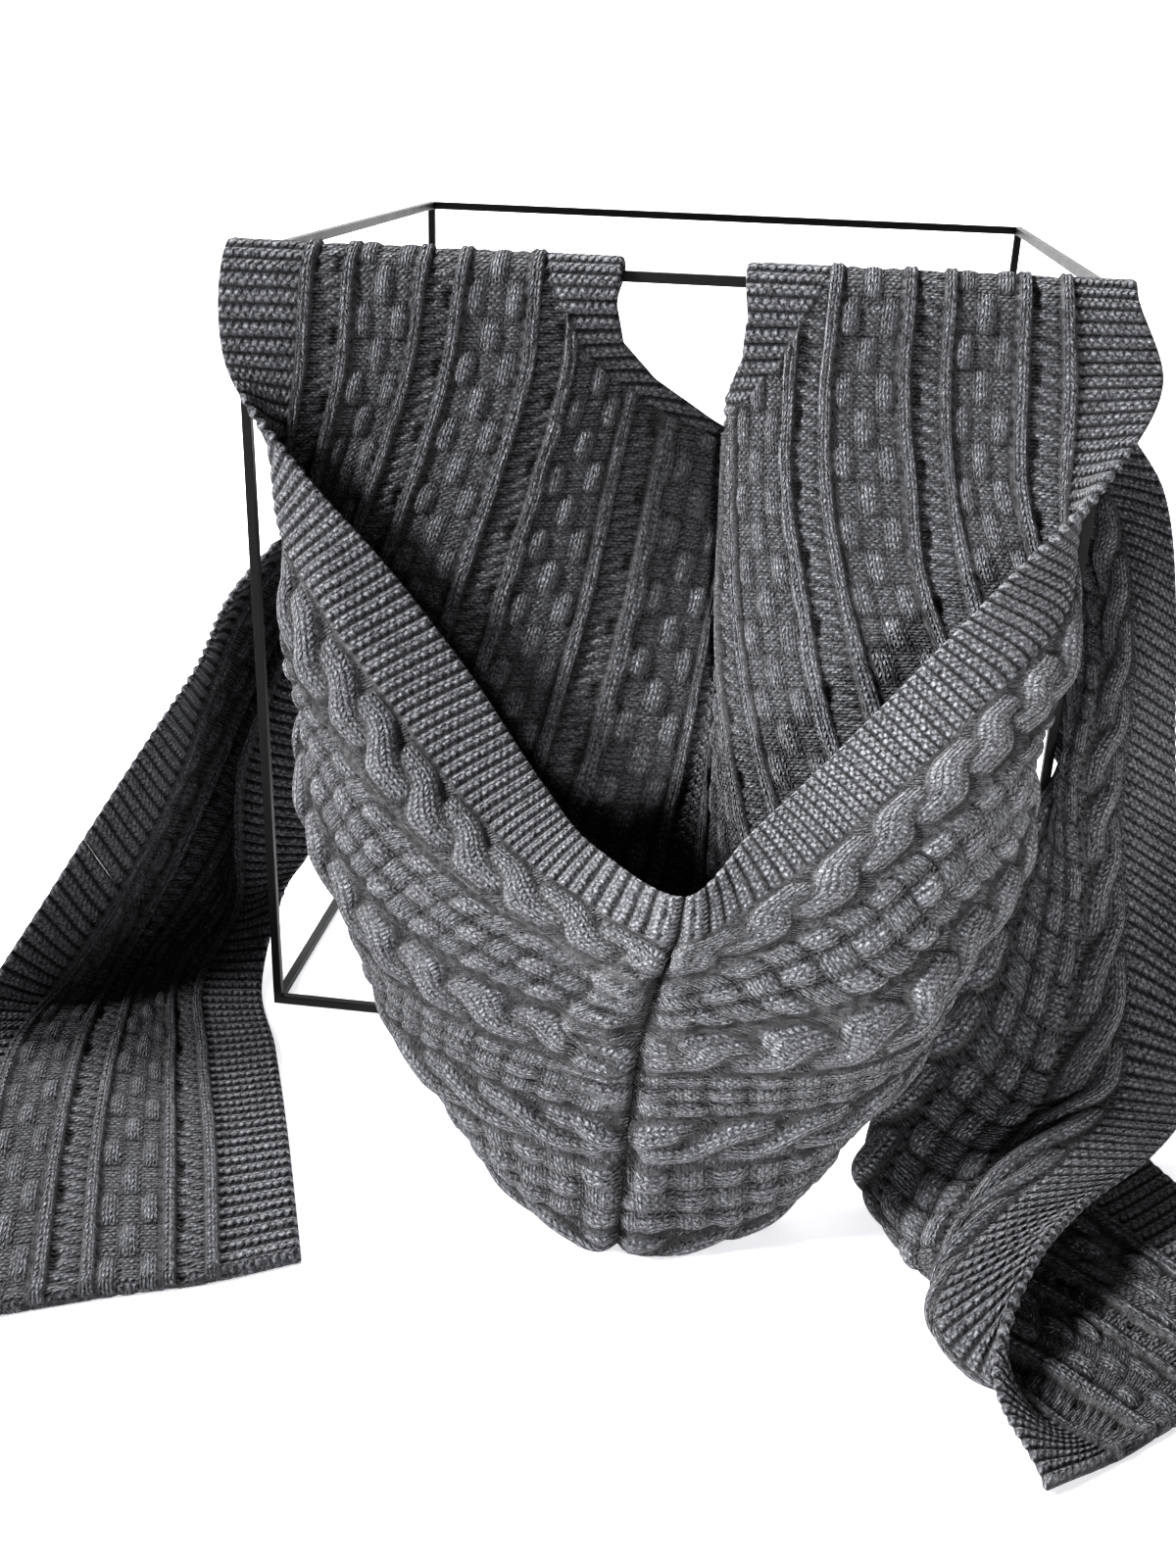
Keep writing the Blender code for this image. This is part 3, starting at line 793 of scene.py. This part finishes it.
# %% [markdown]
# ## A small helper for materials
#
# A material is a sum of small pieces of maths.  The class below wraps one value of a material, so
# that a line such as `1 - abs(x) * 2` adds the nodes that it needs.

# %% Values


class Value:
    """One number or colour inside a material; sums of values add nodes to it."""

    def __init__(self, recipe, socket):
        self.recipe = recipe
        self.socket = socket

    def __add__(self, other):
        return self.recipe.maths("ADD", self, other)

    def __sub__(self, other):
        return self.recipe.maths("SUBTRACT", self, other)

    def __rsub__(self, other):
        return self.recipe.maths("SUBTRACT", other, self)

    def __mul__(self, other):
        return self.recipe.maths("MULTIPLY", self, other)

    def __truediv__(self, other):
        return self.recipe.maths("DIVIDE", self, other)

    def __pow__(self, other):
        return self.recipe.maths("POWER", self, other)

    def __abs__(self):
        return self.recipe.maths("ABSOLUTE", self)

    __radd__ = __add__
    __rmul__ = __mul__


print("a value understands + - * / ** and abs")

# %% [markdown]
# ## A recipe for a finish
#
# A recipe holds one material.  Every node comes from one method, which takes the node's type, its
# settings and what goes into it; the others are short names for the nodes that come up often.

# %% Recipes


class Recipe:
    """A material and the nodes that make it."""

    def __init__(self, name):
        self.material = bpy.data.materials.new(name)
        self.material.use_nodes = True
        self.tree = self.material.node_tree
        self.shader = self.tree.nodes["Principled BSDF"]

    def node(self, kind, settings=None, inputs=None, output=0):
        """Any node: its type, its settings, its input values or links, and the output wanted."""
        made = self.tree.nodes.new(kind)
        for name, value in (settings or {}).items():
            setattr(made, name, value)
        for name, value in (inputs or {}).items():
            self.feed(made.inputs[name], value)
        return Value(self, made.outputs[output])

    def feed(self, socket, value):
        """Link a value to a socket, or set a plain number or colour on it."""
        if isinstance(value, Value):
            self.tree.links.new(value.socket, socket)
        else:
            socket.default_value = value

    def finish(self, **sockets):
        """Set or link the shader's own sockets, with _ for a space in their names."""
        for name, value in sockets.items():
            self.feed(self.shader.inputs[name.replace("_", " ")], value)

    def maths(self, operation, *terms):
        return self.node("ShaderNodeMath", {"operation": operation}, dict(enumerate(terms)))

    def fraction(self, value):
        return self.maths("FRACT", value)

    def highest(self, a, b):
        return self.maths("MAXIMUM", a, b)

    def mix(self, share, a, b, blend="MIX"):
        """Colour a where share is 0, colour b (or a blended with it) where it's 1."""
        return self.node("ShaderNodeMix", {"data_type": "RGBA", "blend_type": blend},
                         {0: share, 6: a, 7: b}, 2)

    def soft_range(self, value, low, high, to_low=0.0, to_high=1.0):
        """A value carried softly from one range to another."""
        return self.node("ShaderNodeMapRange", {"interpolation_type": "SMOOTHSTEP"},
                         {"Value": value, "From Min": low, "From Max": high,
                          "To Min": to_low, "To Max": to_high})

    def noise(self, place, scale, detail=2.0):
        return self.node("ShaderNodeTexNoise", {}, {"Vector": place, "Scale": scale,
                                                    "Detail": detail})

    def place(self):
        """Where a point lies on the object, in metres."""
        return self.node("ShaderNodeTexCoord", None, None, "Object")

    def attribute(self, name, output="Fac"):
        """A value that the mesh holds for each of its places."""
        return self.node("ShaderNodeAttribute", {"attribute_name": name}, None, output)

    def bump(self, height, distance, strength=1.0):
        return self.node("ShaderNodeBump", {}, {"Strength": strength, "Distance": distance,
                                                "Height": height})


print("ways to add to a recipe:", sum(not name.startswith("_") for name in vars(Recipe)))

# %% [markdown]
# ## The stitches of the wool
#
# Every stitch is drawn from its own count across and down.  Purl shows as small round bumps, two
# offset rows of them to a garter ridge.  Knit shows as columns of V shapes.  A little noise moves
# the stitches, because no two are pulled alike.

# %% Stitches
wool = Recipe("grey_wool_knit")
counts = wool.node("ShaderNodeSeparateXYZ", {}, {"Vector": wool.attribute("stitch", "Vector")})
across, count = (Value(wool, counts.socket.node.outputs[axis]) for axis in "XY")
garter = wool.attribute("garter")
knit = wool.attribute("knit")
place = wool.place()


def bumps(x, y):
    """Purl bumps: two rows to each whole y, the second half a stitch along."""
    r = wool.fraction(y)
    total = 0.0
    for middle, shift in ((0.3, 0.0), (0.7, 0.5)):
        dx = wool.fraction(x + shift + 0.25 * (r - middle)) - 0.5
        dy = (r - middle) / 0.25
        bump = 1 - (dx / 0.56) ** 2 - dy * dy
        total = wool.highest(bump, 0.0) + total
    return total


wobble = (wool.noise(place, 160.0) - 0.5) * 0.3 + (wool.noise(place, 620.0) - 0.5) * 0.45
stitch_x = across + wobble
stitch_y = count + wobble
leg = abs(wool.fraction(stitch_x) - 0.5)
slant = wool.fraction(stitch_y + leg * 1.1)
vee = (1 - (abs(leg - 0.25) / 0.25) ** 2) * (0.15 + 0.85 * (1 - abs(slant * 2 - 1) ** 2))
plain = vee * knit + bumps(stitch_x, stitch_y) * (1 - knit)
stitch_height = bumps(stitch_x, stitch_y * 0.5) * garter + plain * (1 - garter)
print("nodes for the stitches:", len(wool.tree.nodes))

# %% [markdown]
# ## The colour of the wool
#
# The wool is heather grey: dark fibres with pale ones spun in, so the colour changes from stitch
# to stitch and along each yarn.  Painted shade makes it darker between the stitches and in every
# crease of the relief, where little light gets in, and painted light makes it paler on top.
# Wool is rough, with a soft sheen of loose fibres.

# %% Wool
DARK_WOOL = (0.06, 0.061, 0.068, 1)
PALE_WOOL = (0.40, 0.405, 0.437, 1)
YARN_RELIEF = 0.0014        # how deep the stitches look, in metres

fuzz = wool.noise(place, 900.0, 3.0)
# painted shade in the creases of the relief, and painted light on its tops
painted_crease_shade = wool.soft_range(wool.attribute("height"), -1.1, 0.9, 0.22, 1.15)
# painted shade between the stitches, times the painted shade of the creases
shade = wool.maths("MULTIPLY_ADD", stitch_height, 0.62, 0.42) * painted_crease_shade
# the painted shade and light as a grey, which multiplies the heather colour
grey = wool.node("ShaderNodeCombineColor", {}, {0: shade, 1: shade, 2: shade})
fibre = wool.noise(place, 1150.0)
yarn = wool.noise(place, 420.0)
pale = wool.highest(fibre * 2.6 + yarn * 1.2 - 1.45, 0.0)
heather = wool.mix(pale, DARK_WOOL, PALE_WOOL)
wool.finish(Base_Color=wool.mix(1.0, heather, grey, "MULTIPLY"),
            Normal=wool.bump(stitch_height + fuzz * 0.35, YARN_RELIEF),
            Roughness=0.95, Sheen_Weight=0.25, Sheen_Roughness=0.5, Specular_IOR_Level=0.15)
print("wool nodes:", len(wool.tree.nodes))

# %% [markdown]
# ## Black steel
#
# The cube is welded from square bar and coated matt black.  The coat is a little uneven, so its
# roughness changes slightly over the surface.

# %% Steel
steel = Recipe("black_steel")
steel_place = steel.place()
uneven = steel.noise(steel_place, 90.0, 3.0)
steel.finish(Roughness=0.34 + uneven * 0.16,
             Base_Color=steel.mix(uneven, (0.010, 0.010, 0.011, 1), (0.017, 0.017, 0.018, 1)),
             Normal=steel.bump(steel.noise(steel_place, 700.0), 0.0003, 0.15),
             Specular_IOR_Level=0.3)
print("steel nodes:", len(steel.tree.nodes))

# %% [markdown]
# ## The cube's bars
#
# Each bar is the frame's own box with its edges rounded by a third of a millimetre.  The bars
# that lie between the posts have their ends grown a little into them, as a weld would fill the
# joint.

# %% Bars
WELD = 0.0004
ROUNDING = 0.00035
BOX_FACES = [(0, 1, 3, 2), (4, 6, 7, 5), (0, 4, 5, 1), (2, 3, 7, 6), (0, 2, 6, 4), (1, 5, 7, 3)]
for name in [name for name in sorted(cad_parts) if "post" in name or "bar" in name]:
    low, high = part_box(name)
    low, high = Vector(low), Vector(high)
    if "post" not in name:
        size = high - low
        longest = max(range(3), key=lambda i: size[i])
        low[longest] -= WELD
        high[longest] += WELD
    mesh = bpy.data.meshes.new(name + "_steel")
    corners = [(x, y, z) for x in (low.x, high.x) for y in (low.y, high.y) for z in (low.z, high.z)]
    mesh.from_pydata(corners, [], BOX_FACES)
    bar = bpy.data.objects.new(name + "_steel", mesh)
    bpy.context.scene.collection.objects.link(bar)
    soft = bar.modifiers.new("rounded edges", "BEVEL")
    soft.width = ROUNDING
    soft.segments = 2
    mesh.materials.append(steel.material)
    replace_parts(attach(bar, "root"), name)

# %% [markdown]
# ## Wool on each sheet, in place of the frame's part
#
# The flat size is what the knitter would measure before the scarf was hung up: the hood halves
# less the curve of the neckline, the tails as plain strips.

# %% Sheets in place
FLAT = {
    "hood_left_half": (0.220, 0.365, 0.0764, "hung"),
    "hood_right_half": (0.220, 0.365, 0.0764, "hung"),
    "left_tail_drop": (0.155, 0.352, None, "hung"),
    "left_tail_end": (0.155, 0.228, None, "laid"),
    "right_tail_drop": (0.155, 0.175, None, "hung"),
    "right_tail_end": (0.155, 0.395, None, "folded"),
}
for node, piece in PIECES.items():
    width, length, area, held = FLAT[node]
    piece.data.materials.append(wool.material)
    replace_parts(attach(piece, "root"), node)
print("sheets:", len(PIECES))

# %% [markdown]
# ## Floor and backdrop
#
# Both are white and glow by themselves, which gives the even white of a photo studio.  The floor
# glows less near the scarf, a painted shade round it, so that the shade of the knitting falls
# softly on it.

# %% Floor and backdrop


def screen(name, corners, finish):
    """One flat face, such as a floor or a backdrop."""
    mesh = bpy.data.meshes.new(name)
    mesh.from_pydata(corners, [], [(0, 1, 2, 3)])
    mesh.materials.append(finish.material)
    made = bpy.data.objects.new(name, mesh)
    bpy.context.scene.collection.objects.link(made)
    return made


white = Recipe("white_floor")
from_middle = white.node("ShaderNodeVectorMath", {"operation": "LENGTH"}, {0: white.place()},
                         "Value")
# painted shade: the floor glows less near the scarf, fading out by 1.6 m
painted_shade_fade = white.soft_range(from_middle, 0.3, 1.6)
white.finish(Base_Color=(0.93, 0.93, 0.93, 1), Roughness=0.6, Emission_Strength=1.1,
             Emission_Color=white.mix(painted_shade_fade, (0.38, 0.38, 0.39, 1), (1.0, 1.0, 1.0, 1)))
glow = Recipe("white_backdrop")
glow.finish(Base_Color=(0.9, 0.9, 0.9, 1), Emission_Color=(1.0, 1.0, 1.0, 1),
            Emission_Strength=1.1)

floor = screen("floor", [(-8, -8, 0), (8, -8, 0), (8, 8, 0), (-8, 8, 0)], white)
floor.location.z = -0.0005
backdrop = screen("backdrop", [(-9, 7, -0.1), (9, 7, -0.1), (9, 7, 4), (-9, 7, 4)], glow)
print("the floor is", round(-floor.location.z * 1000, 2), "mm below what stands on it")

# %% [markdown]
# ## Light
#
# A soft beam from the left in front makes the relief of the knitting show, and a weak light
# behind on the left, as from a window, catches the edges.  A narrow beam lights the tail on the
# left, and a low one from the front fills the shade inside the cloth.  The sky adds very little.

# %% Light
world = bpy.data.worlds.new("studio")
world.use_nodes = True
sky = world.node_tree.nodes["Background"]
sky.inputs["Color"].default_value = (1.0, 1.0, 1.0, 1)
sky.inputs["Strength"].default_value = 0.06
bpy.context.scene.world = world


def lamp(name, place, aim, size, power, cone=None):
    """A square lamp that looks at a point, or a soft beam if it has a cone in degrees."""
    data = bpy.data.lights.new(name, "SPOT" if cone else "AREA")
    data.energy = power
    if cone:
        data.shadow_soft_size = size
        data.spot_size = math.radians(cone)
        data.spot_blend = 1.0
    else:
        data.size = size
    made = bpy.data.objects.new(name, data)
    made.location = place
    made.rotation_euler = (Vector(aim) - Vector(place)).to_track_quat("-Z", "Y").to_euler()
    bpy.context.scene.collection.objects.link(made)
    print("lamp", name, "of", power, "watts")


lamp("key", (-1.5, -0.9, 1.4), (0.12, -0.10, 0.22), 0.26, 420.0, 20.0)
lamp("window", (-1.0, 0.9, 1.9), (0.0, -0.05, 0.15), 0.8, 42.0)
lamp("low window", (-1.2, -0.9, 1.7), (-0.30, -0.20, 0.0), 0.2, 190.0, 9.0)
lamp("fill", (0.4, -1.6, 0.45), (0.11, -0.13, 0.15), 0.15, 140.0, 10.0)

# %% [markdown]
# ## Camera
#
# The place, the turn and the focal length were worked out from the cube's corners and edges.

# %% Camera
PITCH = math.radians(23.75)     # looks down
YAW = math.radians(6.93)        # and a little to the left
ROLL = math.radians(2.01)
CAMERA_PLACE = (0.0536, -0.639, 0.4134)
ahead = Vector((-math.sin(YAW) * math.cos(PITCH), math.cos(YAW) * math.cos(PITCH),
                -math.sin(PITCH)))
sideways = Vector((math.cos(YAW), math.sin(YAW), 0.0))
upwards = sideways.cross(ahead)
right_hand = math.cos(ROLL) * sideways + math.sin(ROLL) * upwards
top_hand = -math.sin(ROLL) * sideways + math.cos(ROLL) * upwards
turn = Matrix((right_hand, top_hand, -ahead)).transposed().to_4x4()

camera_data = bpy.data.cameras.new("camera")
camera_data.sensor_fit = "VERTICAL"
camera_data.sensor_height = 24.0
camera_data.lens = 24.06
camera = bpy.data.objects.new("camera", camera_data)
camera.matrix_world = Matrix.Translation(CAMERA_PLACE) @ turn
bpy.context.scene.collection.objects.link(camera)
bpy.context.scene.camera = camera
print("camera at", [round(v, 3) for v in camera.matrix_world.translation])

# %% [markdown]
# ## How the light is shown
#
# The picture keeps the light's own colours and gets a little more contrast and exposure, because
# the wool is mid grey on pure white.

# %% View
view = bpy.context.scene.view_settings
view.view_transform = "Standard"
view.look = "High Contrast"
view.exposure = 0.15
print("shown with", view.view_transform, "and", view.look)

# %% [markdown]
